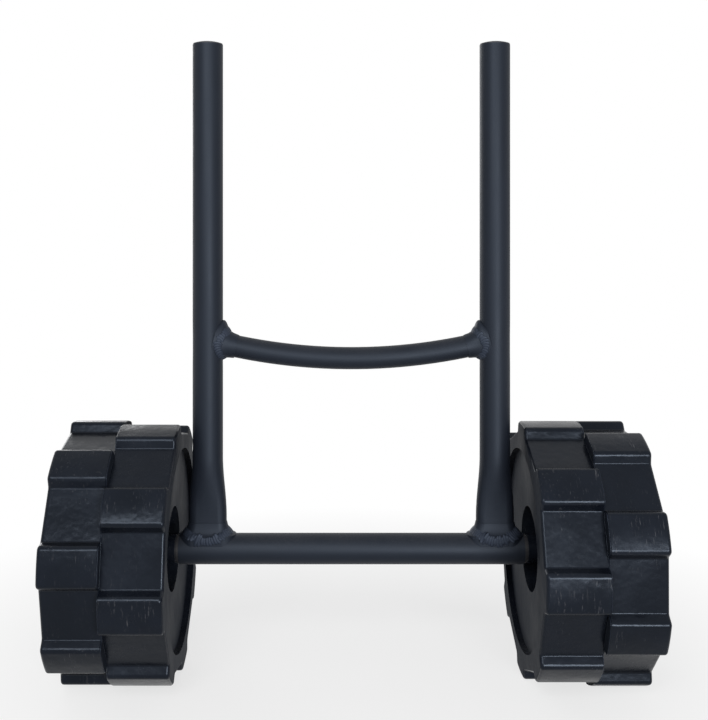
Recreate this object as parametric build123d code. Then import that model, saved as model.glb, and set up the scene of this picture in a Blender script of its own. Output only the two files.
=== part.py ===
from build123d import *
from math import asin, cos, degrees, hypot, pi, radians, sin
import os

# A twin-wheel carrier frame: two posts, a bowed brace, an axle tube and a lugged plastic wheel at each end.
# Millimetres. The origin lies on the ground, straight under the middle of the axle.
# +X runs along the axle to the right-hand wheel, -Y is the front and +Z is up.

# Posts
POST_DIAMETER = 30.0
POST_WALL = 2.0
POST_SPACING = 285.0            # between the posts' centrelines
POST_TOP = 500.0                # end of the tube, above the axle's centre
FOOT_DEPTH = 16.8               # front to back, where the foot is squashed flat
FOOT_FLAT_TOP = 33.0            # end of the fully squashed stretch, above the axle's centre
FOOT_ROUND_FROM = 92.0          # where the post is round again
FOOT_CROWN = 0.1                # bulge left in the middle of the foot's flats
FOOT_SECTIONS = 6
WAIST_DEPTH = 0.15              # how far the brace weld's shrinkage has drawn the post in
WAIST_MARGIN = 4.5              # drawn-in stretch beyond the weld, up and down

# Brace
BRACE_DIAMETER = 22.0
BRACE_WALL = 1.8
BRACE_LOW_POINT = 189.0         # centreline at mid span, above the axle's centre
BRACE_BEND_RADIUS = 560.0

# Axle tube, rod and what sits on the rod
TUBE_DIAMETER = 30.0
TUBE_WALL = 2.0
TUBE_STUB = 12.6                # axle tube beyond a post, each end
ROD_DIAMETER = 12.0
ROD_CHAMFER = 1.0
ROD_END_MARGIN = 6.0            # rod beyond the clip's hole
RUNNING_GAP = 0.05              # radial, between the rod and what turns or slides on it
SEAT_GAP = 0.03                 # radial, round a pressed-in piece
END_PLAY = 0.3                  # axial, between turning faces
INSERT_LENGTH = 20.0
WASHER_DIAMETER = 28.0
WASHER_THICKNESS = 2.0
WASHER_GAP = 0.2                # radial, between rod and washer
BUSH_DIAMETER = 17.0
BUSH_LENGTH = 22.0              # sleeve below the flange
BUSH_FLANGE_DIAMETER = 25.0
BUSH_FLANGE_THICKNESS = 1.5
CLIP_WIRE = 2.6
CLIP_HOLE_GAP = 0.2
CLIP_WASHER_GAP = 0.5
CLIP_TAIL = 13.0                # straight leg below the rod's centre
CLIP_LEG = 17.0                 # straight leg above the rod's centre
CLIP_HUG_ANGLE = 40.0           # how far the sprung leg wraps the rod, each way
CLIP_BEND = 3.0

# Post caps
CAP_EDGE_INSET = 0.4
CAP_RIM = 1.0
CAP_CROWN = 2.4
CAP_STEM_LENGTH = 16.0
CAP_STEM_WALL = 2.0
CAP_FIN_COUNT = 3
CAP_FIN_HEIGHT = 0.8
CAP_FIN_THICKNESS = 1.6

# Welds
FOOT_WELD_SIDE = 9.0            # leg along the axle tube, left and right of a foot
FOOT_WELD_FRONT = 5.0           # leg in front of and behind a foot
FOOT_WELD_RISE = 12.0           # leg up the foot
BRACE_WELD_HALF_HEIGHT = 19.5   # where the bead meets the post
BRACE_WELD_LENGTH = 14.0        # leg along the brace
BRACE_WELD_ROOT = 9.0           # how far round the post the bead reaches, behind the post's near side
WELD_TOE = 0.5                  # thickness of a bead's thin edge
# share of the rise up the foot, and of the legs left there
FOOT_WELD_PROFILE = ((0.0, 1.0), (0.25, 0.45), (0.6, 0.15), (1.0, 0.0))
# share of the leg along the brace, and of the height and width gained there
BRACE_WELD_PROFILE = ((1.0, 0.0, 0.0), (0.6, 0.13, 0.05), (0.25, 0.45, 0.18), (0.0, 1.0, 0.35))

# Wheels
WHEEL_DIAMETER = 250.0
INNER_HALF_WIDTH = 57.3         # from the parting plane to the face beside the post
OUTER_HALF_WIDTH = 54.0
TUBE_REACH = 2.0                # how far the axle tube's end reaches past a wheel's inner face
SHELL_WALL = 3.0
LUG_COUNT = 8                   # lugs in each of the two rows
LUG_HEIGHT = 9.5
LUG_HALF_ANGLE = 8.2
LUG_DRAFT_ANGLE = 2.1           # extra at the foot of a lug, each side
LUG_STAGGER_ANGLE = 24.5        # from a lug of the outer row to the next of the inner row
LUG_EDGE_RADIUS = 5.0
LUG_FOOT_RADIUS = 2.0
SHOULDER_RADIUS = 3.0           # round edge between tread and sidewall
PARTING_CHAMFER = 0.8
RING_INNER_RADIUS = 98.0
RING_STEP = 6.0                 # depth of the dish just inside the ring
DISH_DEPTH = 8.5                # depth of the dish at the hub well's mouth
WELL_RADIUS = 41.0
WELL_FLOOR_RADIUS = 38.0
WELL_DEPTH = 38.0
HUB_RADIUS = 13.5
HUB_BORE_GAP = 1.0              # radial, between the rod and the hub between its bushes
OUTER_HUB_RECESS = 21.5         # outer hub face, below the wheel's outer face
SPIGOT_RADIUS = 105.0
SPIGOT_WIDTH = 3.0
SPIGOT_LENGTH = 5.0
SPIGOT_GAP = 0.2
LEFT_WHEEL_TURN = 9.5           # where the outer row stops, from straight ahead, upwards
RIGHT_WHEEL_TURN = -21.9

# Screws that hold the two half shells together
SCREW_COUNT = 4
SCREW_CIRCLE_RADIUS = 27.0
SCREW_DIAMETER = 4.0
SCREW_LENGTH = 25.0
SCREW_HEAD_DIAMETER = 8.0
SCREW_HEAD_HEIGHT = 2.6
SCREW_HEAD_ROUND = 0.85
SCREW_SLOT_WIDTH = 1.2
SCREW_SLOT_LENGTH = 4.6
SCREW_SLOT_DEPTH = 1.4
SCREW_HOLE_GAP = 0.3
SCREW_BITE_GAP = 0.05
SCREW_BOSS_RADIUS = 5.0

SAME_PLACE = 0.01               # two distances closer than this are one

# Worked out from the sizes above
AXLE_HEIGHT = WHEEL_DIAMETER / 2
POST_RADIUS = POST_DIAMETER / 2
POST_X = POST_SPACING / 2
POST_INNER_X = POST_X - POST_RADIUS
FOOT_WIDTH = FOOT_DEPTH + pi * (POST_RADIUS - FOOT_DEPTH / 2)    # the tube's girth stays as it was
TUBE_RADIUS = TUBE_DIAMETER / 2
TUBE_HALF = POST_X + POST_RADIUS + TUBE_STUB
BRACE_RADIUS = BRACE_DIAMETER / 2
BRACE_SLOPE = asin(POST_INNER_X / BRACE_BEND_RADIUS)             # where it meets a post
BRACE_END_Z = BRACE_LOW_POINT + BRACE_BEND_RADIUS * (1 - cos(BRACE_SLOPE))
WAIST_HALF = BRACE_WELD_HALF_HEIGHT + WAIST_MARGIN
ROD_RADIUS = ROD_DIAMETER / 2
WHEEL_RADIUS = WHEEL_DIAMETER / 2
LUG_PITCH = 360.0 / LUG_COUNT
WHEEL_INNER_X = TUBE_HALF - TUBE_REACH
PARTING_X = WHEEL_INNER_X + INNER_HALF_WIDTH
INNER_FLANGE_X = TUBE_HALF + WASHER_THICKNESS + END_PLAY
INNER_HUB_X = INNER_FLANGE_X + BUSH_FLANGE_THICKNESS
OUTER_HUB_X = PARTING_X + OUTER_HALF_WIDTH - OUTER_HUB_RECESS
OUTER_WASHER_X = OUTER_HUB_X + BUSH_FLANGE_THICKNESS + END_PLAY
CLIP_X = OUTER_WASHER_X + WASHER_THICKNESS + CLIP_WASHER_GAP + CLIP_WIRE / 2
ROD_HALF = CLIP_X + ROD_END_MARGIN
SCREW_SEAT = OUTER_HALF_WIDTH - WELL_DEPTH                       # a screw head's, above the parting plane
SIDES = {"left": -1, "right": 1}


def save(name, shape):
    """Write one piece at its place above the ground."""
    shape = Pos(0, 0, AXLE_HEIGHT) * shape
    export_step(shape, f"parts/{name}.step")


def on_axle(shape, x, outward):
    """Lay a piece that was made along +Z on the axle line at x, its +Z pointing left (-1) or right (1)."""
    place = Plane(origin=(x, 0, 0), x_dir=(0, -1, 0), z_dir=(outward, 0, 0))
    return place * shape


def ring(outer_radius, inner_radius, length, start=0.0):
    """A plain ring or sleeve along +Z, from start upwards."""
    sketch = Circle(outer_radius) - Circle(inner_radius)
    return Pos(0, 0, start) * extrude(sketch, length)


# Posts

def foot_section(squash, inset, height):
    """The post's outline at one height: squash is 0 where it is round and 1 where it is flat."""
    flat_radius = FOOT_DEPTH / 2
    flat_half = FOOT_WIDTH / 2 - flat_radius
    corner_angle = flat_half / POST_RADIUS
    round_points = ((0, 1), (sin(corner_angle), cos(corner_angle)), (1, 0))
    flat_points = (
        (0, flat_radius - inset + FOOT_CROWN),
        (flat_half, flat_radius - inset),
        (flat_half + flat_radius - inset, 0),
    )
    points = []
    for (round_x, round_y), (flat_x, flat_y) in zip(round_points, flat_points):
        x = (POST_RADIUS - inset) * round_x * (1 - squash) + flat_x * squash
        y = (POST_RADIUS - inset) * round_y * (1 - squash) + flat_y * squash
        points.append((x, y))
    (_, crown), (corner_x, corner_y), (side, _) = points
    outline = [
        ThreePointArc((-corner_x, corner_y), (0, crown), (corner_x, corner_y)),
        ThreePointArc((corner_x, corner_y), (side, 0), (corner_x, -corner_y)),
        ThreePointArc((corner_x, -corner_y), (0, -crown), (-corner_x, -corner_y)),
        ThreePointArc((-corner_x, -corner_y), (-side, 0), (-corner_x, corner_y)),
    ]
    return Pos(0, 0, height) * make_face(outline)


def post_shaft(inset):
    """The round part of a post as a bar, inset from its outside, with the waist at the brace weld."""
    radius = POST_RADIUS - inset
    waist_low = (radius, BRACE_END_Z - WAIST_HALF)
    waist_middle = (radius - WAIST_DEPTH, BRACE_END_Z)
    waist_high = (radius, BRACE_END_Z + WAIST_HALF)
    outline = [
        Line((0, FOOT_ROUND_FROM), (radius, FOOT_ROUND_FROM)),
        Line((radius, FOOT_ROUND_FROM), waist_low),
        ThreePointArc(waist_low, waist_middle, waist_high),
        Line(waist_high, (radius, POST_TOP)),
        Line((radius, POST_TOP), (0, POST_TOP)),
        Line((0, POST_TOP), (0, FOOT_ROUND_FROM)),
    ]
    return revolve(Plane.XZ * make_face(outline), Axis.Z)


def post_core(inset):
    """The post as a solid bar, inset from its outside, before it is coped over the axle tube."""
    sections = []
    for step in range(FOOT_SECTIONS):
        share = step / (FOOT_SECTIONS - 1)
        eased = share * share * (3 - 2 * share)
        height = FOOT_FLAT_TOP + share * (FOOT_ROUND_FROM - FOOT_FLAT_TOP)
        sections.append(foot_section(1 - eased, inset, height))
    taper = loft(sections)
    foot = extrude(foot_section(1, inset, 0), FOOT_FLAT_TOP)
    return foot + taper + post_shaft(inset)


def axle_bar(radius, half_length):
    """A solid bar along the axle line."""
    return Rot(0, 90, 0) * Cylinder(radius, 2 * half_length)


def make_post():
    """One post at x = 0, coped where it stands on the axle tube."""
    return post_core(0) - post_core(POST_WALL) - axle_bar(TUBE_RADIUS, POST_DIAMETER)


def make_foot_weld():
    """The bead round a foot: concave at the sides, and run down the front and back of the axle tube."""
    sections = []
    for rise, spread in FOOT_WELD_PROFILE:
        side = WELD_TOE + FOOT_WELD_SIDE * spread
        front = WELD_TOE + FOOT_WELD_FRONT * spread
        outline = SlotOverall(FOOT_WIDTH + 2 * side, FOOT_DEPTH + 2 * front)
        sections.append(Pos(0, 0, TUBE_RADIUS + FOOT_WELD_RISE * rise) * outline)
    skirt = extrude(sections[0], -TUBE_RADIUS)
    bead = loft(sections) + skirt
    return bead - post_core(0) - axle_bar(TUBE_RADIUS, POST_DIAMETER)


def make_cap():
    """A ribbed plug with a low domed head, its seat at z = 0."""
    head_radius = POST_RADIUS - CAP_EDGE_INSET
    bore = POST_RADIUS - POST_WALL - SEAT_GAP
    stem_radius = bore - CAP_FIN_HEIGHT
    dome_radius = (head_radius ** 2 + CAP_CROWN ** 2) / (2 * CAP_CROWN)
    dome_centre = CAP_RIM + CAP_CROWN - dome_radius
    half_angle = asin(head_radius / dome_radius) / 2
    dome_middle = (dome_radius * sin(half_angle), dome_centre + dome_radius * cos(half_angle))
    outline = [
        Line((0, 0), (head_radius, 0)),
        Line((head_radius, 0), (head_radius, CAP_RIM)),
        ThreePointArc((head_radius, CAP_RIM), dome_middle, (0, CAP_RIM + CAP_CROWN)),
        Line((0, CAP_RIM + CAP_CROWN), (0, 0)),
    ]
    head = revolve(Plane.XZ * make_face(outline), Axis.Z)
    stem = ring(stem_radius, stem_radius - CAP_STEM_WALL, CAP_STEM_LENGTH, -CAP_STEM_LENGTH)
    cap = head + stem
    spacing = CAP_STEM_LENGTH / (CAP_FIN_COUNT + 1)
    for fin in range(CAP_FIN_COUNT):
        middle = -spacing * (fin + 1)
        cap += ring(bore, stem_radius - CAP_STEM_WALL / 2, CAP_FIN_THICKNESS, middle - CAP_FIN_THICKNESS / 2)
    return cap


# Brace

def brace_bar(radius):
    """A solid bar bent to the brace's bow, from one post's centreline to the other's."""
    half_turn = degrees(asin(POST_X / BRACE_BEND_RADIUS))
    centre = BRACE_LOW_POINT + BRACE_BEND_RADIUS
    section = Plane.YZ * (Pos(0, BRACE_LOW_POINT) * Circle(radius))
    bend = Axis((0, 0, centre), (0, 1, 0))
    bar = revolve(section, bend, 2 * half_turn)
    return bar.rotate(bend, -half_turn)


def post_bars():
    """The round parts of both posts as bars, to cope the brace and its welds against."""
    return [Pos(sign * POST_X, 0, 0) * post_shaft(0) for sign in SIDES.values()]


def make_brace():
    """The bowed tube, coped against both posts."""
    brace = brace_bar(BRACE_RADIUS) - brace_bar(BRACE_RADIUS - BRACE_WALL)
    return brace - post_bars()


def make_brace_weld():
    """The trumpet-shaped bead where the brace meets the left post: tall, and no wider than the post."""
    toe = BRACE_RADIUS + WELD_TOE
    tall = BRACE_WELD_HALF_HEIGHT - toe
    wide = POST_RADIUS - WELD_TOE - toe
    sections = []
    for back, rise, spread in BRACE_WELD_PROFILE:
        outline = Ellipse(toe + wide * spread, toe + tall * rise)
        sections.append(Pos(0, 0, -BRACE_WELD_LENGTH * back) * outline)
    sections.append(Pos(0, 0, BRACE_WELD_ROOT) * Ellipse(toe + wide, toe + tall))
    direction = (-cos(BRACE_SLOPE), 0, sin(BRACE_SLOPE))
    place = Plane(origin=(-POST_INNER_X, 0, BRACE_END_Z), x_dir=(0, 1, 0), z_dir=direction)
    return place * loft(sections) - brace_bar(BRACE_RADIUS) - post_bars()


# Axle

def make_axle_tube():
    return Rot(0, 90, 0) * ring(TUBE_RADIUS, TUBE_RADIUS - TUBE_WALL, 2 * TUBE_HALF, -TUBE_HALF)


def make_rod():
    """The rod with a cross hole for a clip near each end."""
    rod = axle_bar(ROD_RADIUS, ROD_HALF)
    rod = chamfer(rod.edges().filter_by(GeomType.CIRCLE), ROD_CHAMFER)
    for sign in SIDES.values():
        rod -= Pos(sign * CLIP_X, 0, 0) * Cylinder(CLIP_WIRE / 2 + CLIP_HOLE_GAP, 2 * ROD_DIAMETER)
    return rod


def make_insert():
    """The plastic insert in an end of the axle tube, its outer end at z = 0."""
    return ring(TUBE_RADIUS - TUBE_WALL - SEAT_GAP, ROD_RADIUS + RUNNING_GAP, INSERT_LENGTH, -INSERT_LENGTH)


def make_washer():
    """A washer that starts at z = 0."""
    return ring(WASHER_DIAMETER / 2, ROD_RADIUS + WASHER_GAP, WASHER_THICKNESS)


def make_bush():
    """A flanged bush: its flange stands on z = 0 and its sleeve reaches down into the hub."""
    flange = ring(BUSH_FLANGE_DIAMETER / 2, ROD_RADIUS + RUNNING_GAP, BUSH_FLANGE_THICKNESS)
    sleeve = ring(BUSH_DIAMETER / 2 - SEAT_GAP, ROD_RADIUS + RUNNING_GAP, BUSH_LENGTH, -BUSH_LENGTH)
    return flange + sleeve


def make_clip():
    """A spring clip in the XY plane: one straight leg through the rod, one sprung leg round it."""
    wire_radius = CLIP_WIRE / 2
    hug = ROD_RADIUS + wire_radius + CLIP_HOLE_GAP
    hug_x = hug * cos(radians(CLIP_HUG_ANGLE))
    hug_y = hug * sin(radians(CLIP_HUG_ANGLE))
    eye = hug / 2 + wire_radius / 2
    legs = [
        Line((0, -CLIP_TAIL), (0, CLIP_LEG)),
        ThreePointArc((0, CLIP_LEG), (eye, CLIP_LEG + eye), (2 * eye, CLIP_LEG)),
        Line((2 * eye, CLIP_LEG), (hug_x, hug_y)),
        ThreePointArc((hug_x, hug_y), (hug, 0), (hug_x, -hug_y)),
        Line((hug_x, -hug_y), (2 * eye, -2 * hug_y)),
    ]
    path = Wire(legs)
    corners = path.vertices().filter_by(lambda v: abs(hypot(v.X, v.Y) - hug) < SAME_PLACE)
    path = path.fillet_2d(CLIP_BEND, corners)
    section = Plane(origin=(0, -CLIP_TAIL, 0), z_dir=(0, 1, 0)) * Circle(wire_radius)
    return sweep(section, path)


# Wheels

def polar(radius, angle):
    return (radius * cos(radians(angle)), radius * sin(radians(angle)))


def tread_outline(turn):
    """The outline of one row of lugs, with a lug's middle at the angle turn."""
    floor_radius = WHEEL_RADIUS - LUG_HEIGHT
    foot_angle = LUG_HALF_ANGLE + LUG_DRAFT_ANGLE
    edges = []
    for lug in range(LUG_COUNT):
        middle = turn + lug * LUG_PITCH
        start = polar(WHEEL_RADIUS, middle - LUG_HALF_ANGLE)
        end = polar(WHEEL_RADIUS, middle + LUG_HALF_ANGLE)
        foot = polar(floor_radius, middle + foot_angle)
        next_foot = polar(floor_radius, middle + LUG_PITCH - foot_angle)
        next_start = polar(WHEEL_RADIUS, middle + LUG_PITCH - LUG_HALF_ANGLE)
        edges.append(ThreePointArc(start, polar(WHEEL_RADIUS, middle), end))
        edges.append(Line(end, foot))
        edges.append(Line(foot, next_foot))
        edges.append(Line(next_foot, next_start))
    outline = make_face(edges)
    tops = outline.vertices().filter_by(lambda v: hypot(v.X, v.Y) > WHEEL_RADIUS - LUG_HEIGHT / 2)
    outline = fillet(tops, LUG_EDGE_RADIUS)
    feet = outline.vertices().filter_by(lambda v: hypot(v.X, v.Y) < floor_radius + LUG_HEIGHT / 4)
    return fillet(feet, LUG_FOOT_RADIUS)


def turned(points):
    """A solid turned about Z from (radius, height) points."""
    return revolve(Plane.XZ * make_face(Polyline(*points, close=True)), Axis.Z)


def screw_places():
    """Where the screws stand, in the wheel's own plane."""
    return [Rot(0, 0, 360.0 / SCREW_COUNT * k) * Pos(SCREW_CIRCLE_RADIUS, 0, 0) for k in range(SCREW_COUNT)]


def wheel_half(turn, width, hub_face):
    """A half shell on the parting plane z = 0, its sidewall up, its hub ending at hub_face."""
    well_floor = width - WELL_DEPTH
    outline = tread_outline(turn)
    shell = extrude(outline, width)
    shell = fillet(shell.faces().sort_by(Axis.Z)[-1].edges(), SHOULDER_RADIUS)
    shell = chamfer(shell.faces().sort_by(Axis.Z)[0].edges(), PARTING_CHAMFER)
    over = width + SHELL_WALL
    dish = turned([
        (HUB_RADIUS, over),
        (RING_INNER_RADIUS, over),
        (RING_INNER_RADIUS, width - RING_STEP),
        (WELL_RADIUS, width - DISH_DEPTH),
        (WELL_FLOOR_RADIUS, well_floor),
        (HUB_RADIUS, well_floor),
    ])
    under_ring = turned([
        (HUB_RADIUS, -SHELL_WALL),
        (HUB_RADIUS, well_floor - SHELL_WALL),
        (WELL_FLOOR_RADIUS + SHELL_WALL, well_floor - SHELL_WALL),
        (WELL_RADIUS + SHELL_WALL, width - DISH_DEPTH - SHELL_WALL),
        (RING_INNER_RADIUS + SHELL_WALL, width - RING_STEP - SHELL_WALL),
        (RING_INNER_RADIUS + SHELL_WALL, width - SHELL_WALL),
        (WHEEL_RADIUS, width - SHELL_WALL),
        (WHEEL_RADIUS, -SHELL_WALL),
    ])
    inside_tread = Pos(0, 0, SHELL_WALL) * extrude(offset(outline, -SHELL_WALL), width)
    mouth = Pos(0, 0, -SHELL_WALL) * extrude(Circle(SPIGOT_RADIUS), 3 * SHELL_WALL)
    shell -= dish
    shell -= under_ring & (inside_tread + mouth)
    shell -= Pos(0, 0, hub_face) * extrude(Circle(HUB_RADIUS + SHELL_WALL), width)
    shell -= extrude(Circle(ROD_RADIUS + HUB_BORE_GAP), width)
    shell -= Pos(0, 0, hub_face - BUSH_LENGTH) * extrude(Circle(BUSH_DIAMETER / 2), width)
    for place in screw_places():
        shell += place * extrude(Circle(SCREW_BOSS_RADIUS), well_floor)
    return shell


def make_outer_half():
    """The outer half shell, with clearance holes for the screws and a spigot that centres the other half."""
    shell = wheel_half(0, OUTER_HALF_WIDTH, OUTER_HUB_X - PARTING_X)
    for place in screw_places():
        shell -= place * extrude(Circle(SCREW_DIAMETER / 2 + SCREW_HOLE_GAP), OUTER_HALF_WIDTH)
    outer = SPIGOT_RADIUS - SPIGOT_GAP
    collar = ring(outer, outer - SPIGOT_WIDTH, SPIGOT_LENGTH + 2 * SHELL_WALL, -SPIGOT_LENGTH)
    root = ring(SPIGOT_RADIUS + SHELL_WALL, outer - SPIGOT_WIDTH, SHELL_WALL, SHELL_WALL)
    return shell + collar + root


def make_inner_half():
    """The inner half shell, mirrored across the parting plane, its lugs between those of the outer row."""
    shell = wheel_half(LUG_STAGGER_ANGLE, INNER_HALF_WIDTH, PARTING_X - INNER_HUB_X)
    depth = SCREW_LENGTH - SCREW_SEAT + SCREW_DIAMETER / 2
    for place in screw_places():
        shell -= place * extrude(Circle(SCREW_DIAMETER / 2 + SCREW_BITE_GAP), depth)
    return mirror(shell, Plane.XY)


def make_screws():
    """All the screws of one wheel, their heads on the outer well's floor."""
    head = extrude(Circle(SCREW_HEAD_DIAMETER / 2), SCREW_HEAD_HEIGHT)
    head = fillet(head.edges().sort_by(Axis.Z)[-1], SCREW_HEAD_ROUND)
    shank = Pos(0, 0, -SCREW_LENGTH) * extrude(Circle(SCREW_DIAMETER / 2), SCREW_LENGTH)
    slot = Pos(0, 0, SCREW_HEAD_HEIGHT) * Box(SCREW_SLOT_LENGTH, SCREW_SLOT_WIDTH, 2 * SCREW_SLOT_DEPTH)
    screw = head + shank - slot - Rot(0, 0, 90) * slot
    return Compound(children=[Pos(0, 0, SCREW_SEAT) * place * screw for place in screw_places()])


def wheel_pieces():
    """What the two wheels share, each piece in the wheel's own frame."""
    return {
        "outer_wheel_half": make_outer_half(),
        "inner_wheel_half": make_inner_half(),
        "wheel_screws": make_screws(),
    }


def save_wheel(side, turn, pieces):
    """One wheel and what turns with it."""
    sign = SIDES[side]
    spin = Rot(0, 0, -sign * turn)
    for name, piece in pieces.items():
        save(f"{side}_{name}", on_axle(spin * piece, sign * PARTING_X, sign))
    save(f"{side}_outer_hub_bush", on_axle(make_bush(), sign * OUTER_HUB_X, sign))
    save(f"{side}_inner_hub_bush", on_axle(make_bush(), sign * INNER_HUB_X, -sign))


def save_axle_fittings(side):
    """What sits on the rod and does not turn."""
    sign = SIDES[side]
    save(f"{side}_tube_insert", on_axle(make_insert(), sign * TUBE_HALF, sign))
    save(f"{side}_inner_washer", on_axle(make_washer(), sign * TUBE_HALF, sign))
    save(f"{side}_outer_washer", on_axle(make_washer(), sign * OUTER_WASHER_X, sign))
    save(f"{side}_retaining_clip", on_axle(make_clip(), sign * CLIP_X, sign))


def save_frame_side(side):
    """One post with its cap and the weld round its foot."""
    sign = SIDES[side]
    save(f"{side}_upright", Pos(sign * POST_X, 0, 0) * make_post())
    save(f"{side}_base_weld", Pos(sign * POST_X, 0, 0) * make_foot_weld())
    save(f"{side}_post_cap", Pos(sign * POST_X, 0, POST_TOP) * make_cap())


os.makedirs("parts", exist_ok=True)
save("axle_tube", make_axle_tube())
save("cross_brace", make_brace())
save("axle_rod", make_rod())
for side in SIDES:
    save_frame_side(side)
    save_axle_fittings(side)
brace_weld = make_brace_weld()
save("left_brace_weld", brace_weld)
save("right_brace_weld", mirror(brace_weld, Plane.YZ))
shared = wheel_pieces()
save_wheel("left", LEFT_WHEEL_TURN, shared)
save_wheel("right", RIGHT_WHEEL_TURN, shared)
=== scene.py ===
import math

import bpy
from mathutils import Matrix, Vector
from mathutils.bvhtree import BVHTree


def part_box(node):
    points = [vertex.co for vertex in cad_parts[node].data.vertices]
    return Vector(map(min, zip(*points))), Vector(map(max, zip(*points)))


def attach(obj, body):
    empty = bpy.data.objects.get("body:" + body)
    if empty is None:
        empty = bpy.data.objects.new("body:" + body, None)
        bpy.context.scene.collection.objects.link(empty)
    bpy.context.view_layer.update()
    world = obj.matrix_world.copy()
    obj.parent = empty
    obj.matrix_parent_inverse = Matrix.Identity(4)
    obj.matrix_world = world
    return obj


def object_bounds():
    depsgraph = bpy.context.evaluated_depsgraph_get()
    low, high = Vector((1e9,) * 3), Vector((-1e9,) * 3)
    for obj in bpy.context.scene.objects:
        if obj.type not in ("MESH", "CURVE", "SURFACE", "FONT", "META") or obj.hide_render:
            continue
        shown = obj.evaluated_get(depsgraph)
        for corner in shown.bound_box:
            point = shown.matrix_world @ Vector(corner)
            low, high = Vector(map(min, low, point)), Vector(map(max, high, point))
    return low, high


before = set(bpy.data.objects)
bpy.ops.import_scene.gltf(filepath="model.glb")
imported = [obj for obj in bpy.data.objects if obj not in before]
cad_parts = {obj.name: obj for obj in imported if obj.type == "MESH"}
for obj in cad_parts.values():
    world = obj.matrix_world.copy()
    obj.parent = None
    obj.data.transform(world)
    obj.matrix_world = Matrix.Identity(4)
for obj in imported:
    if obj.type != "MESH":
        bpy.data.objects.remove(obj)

bl_info = {
    "name": "Twin-wheel carrier frame",
    "version": (1, 0, 0),
    "blender": (4, 5, 0),
    "location": "View3D > Sidebar > Carrier",
    "description": "Finishes for a welded tube carrier on two lugged wheels, and a plain studio",
    "category": "Object",
}

SIDES = ("left", "right")
SIDE_SIGN = {"left": -1.0, "right": 1.0}
CAD_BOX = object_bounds()
MM = 0.001
FOOT_DEPTH = 16.8 * MM              # of a post's squashed foot, front to back
FOOT_SEAM_SAG = 4 * MM              # how far the passes lie below the corner in front and behind
BRACE_BEND_RADIUS = 560 * MM
SEAM_STEPS = 120                    # rays that find a seam on its bead
SEAM_REACH = 30 * MM                # how far outside the seam the rays start
RIPPLE_OVERLAP = 0.95               # a ripple's half length, as a share of the pitch
PARTING_FACE_RADIUS = 110 * MM      # between spigot and outline, on the face where the halves meet
PARTING_TOLERANCE = 0.02 * MM
FEWEST_OUTLINE_POINTS = 40
FLASH_SIDES = 6
FLOOR_SIDES = 96
FLOOR_GAP = 0.1 * MM                # keeps the floor clear of the lowest lugs
CAP_ROUGHNESS = 0.55
SMALL_PLASTIC_SPECULAR = 0.3
NUMBER = "NodeSocketFloat"
VECTOR = "NodeSocketVector"
WHITE = (1.0, 1.0, 1.0, 1.0)
COOL_REFLECTION = (0.7, 0.82, 1.0, 1.0)     # of blue-black powder and plastic


# Nodes

def add_node(tree, kind, inputs=None, **settings):
    """A new node, its inputs set by name or number to values or to other nodes' outputs."""
    node = tree.nodes.new(kind)
    for name, value in settings.items():
        setattr(node, name, value)
    for name, value in (inputs or {}).items():
        if isinstance(value, bpy.types.NodeSocket):
            tree.links.new(value, node.inputs[name])
        else:
            node.inputs[name].default_value = value
    return node


def math_node(tree, operation, first, second=0.0, clamp=False):
    """The output of a Math node."""
    inputs = {0: first, 1: second}
    return add_node(tree, "ShaderNodeMath", inputs, operation=operation, use_clamp=clamp).outputs[0]


def stretched(tree, vector, factors):
    """A vector times another, axis by axis."""
    inputs = {0: vector, 1: factors}
    return add_node(tree, "ShaderNodeVectorMath", inputs, operation="MULTIPLY").outputs[0]


def length_of(tree, vector):
    """The length of a vector."""
    return add_node(tree, "ShaderNodeVectorMath", {0: vector}, operation="LENGTH").outputs["Value"]


def joined(tree, x=0.0, y=0.0, z=0.0):
    """A vector made of three numbers."""
    return add_node(tree, "ShaderNodeCombineXYZ", {"X": x, "Y": y, "Z": z}).outputs[0]


def remap(tree, value, low, high, to_low=0.0, to_high=1.0):
    """value carried from low..high to to_low..to_high, and held there."""
    inputs = {
        "Value": value, "From Min": low, "From Max": high, "To Min": to_low, "To Max": to_high,
    }
    return add_node(tree, "ShaderNodeMapRange", inputs, clamp=True).outputs["Result"]


def noise(tree, vector, scale, detail, roughness):
    """The value of a noise texture."""
    inputs = {"Vector": vector, "Scale": scale, "Detail": detail, "Roughness": roughness}
    return add_node(tree, "ShaderNodeTexNoise", inputs).outputs[0]


def mixed(tree, factor, first, second):
    """Two colours mixed."""
    inputs = {0: factor, 6: first, 7: second}
    return add_node(tree, "ShaderNodeMix", inputs, data_type="RGBA").outputs[2]


def tinted(colour, factor):
    """A colour made lighter or darker, as four numbers."""
    return [min(1.0, value * factor) for value in colour[:3]] + [1.0]


def patchy(tree, mask, colour, dark, light):
    """A colour that goes from dark to light times itself over a mask."""
    return mixed(tree, mask, tinted(colour, dark), tinted(colour, light))


def flecked(tree, shade, grain, colour, light, low=0.56, high=0.74):
    """A shade with lighter flecks where the grain stands highest."""
    return mixed(tree, remap(tree, grain, low, high), shade, tinted(colour, light))


def new_tree(kind, name, inputs, outputs):
    """A tree with only its two end nodes: {name: (type, default)} in, {name: type} out."""
    tree = bpy.data.node_groups.new(name, kind)
    for socket_name, (socket_type, default) in inputs.items():
        socket = tree.interface.new_socket(socket_name, in_out="INPUT", socket_type=socket_type)
        if default is not None:
            socket.default_value = default
    for socket_name, socket_type in outputs.items():
        tree.interface.new_socket(socket_name, in_out="OUTPUT", socket_type=socket_type)
    return tree, tree.nodes.new("NodeGroupInput"), tree.nodes.new("NodeGroupOutput")


def emptied_tree(owner):
    """The node tree of a new material or world, with nothing in it."""
    owner.use_nodes = True
    owner.node_tree.nodes.clear()
    return owner.node_tree


# Shader groups, each built once and placed in every material that uses it

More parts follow.
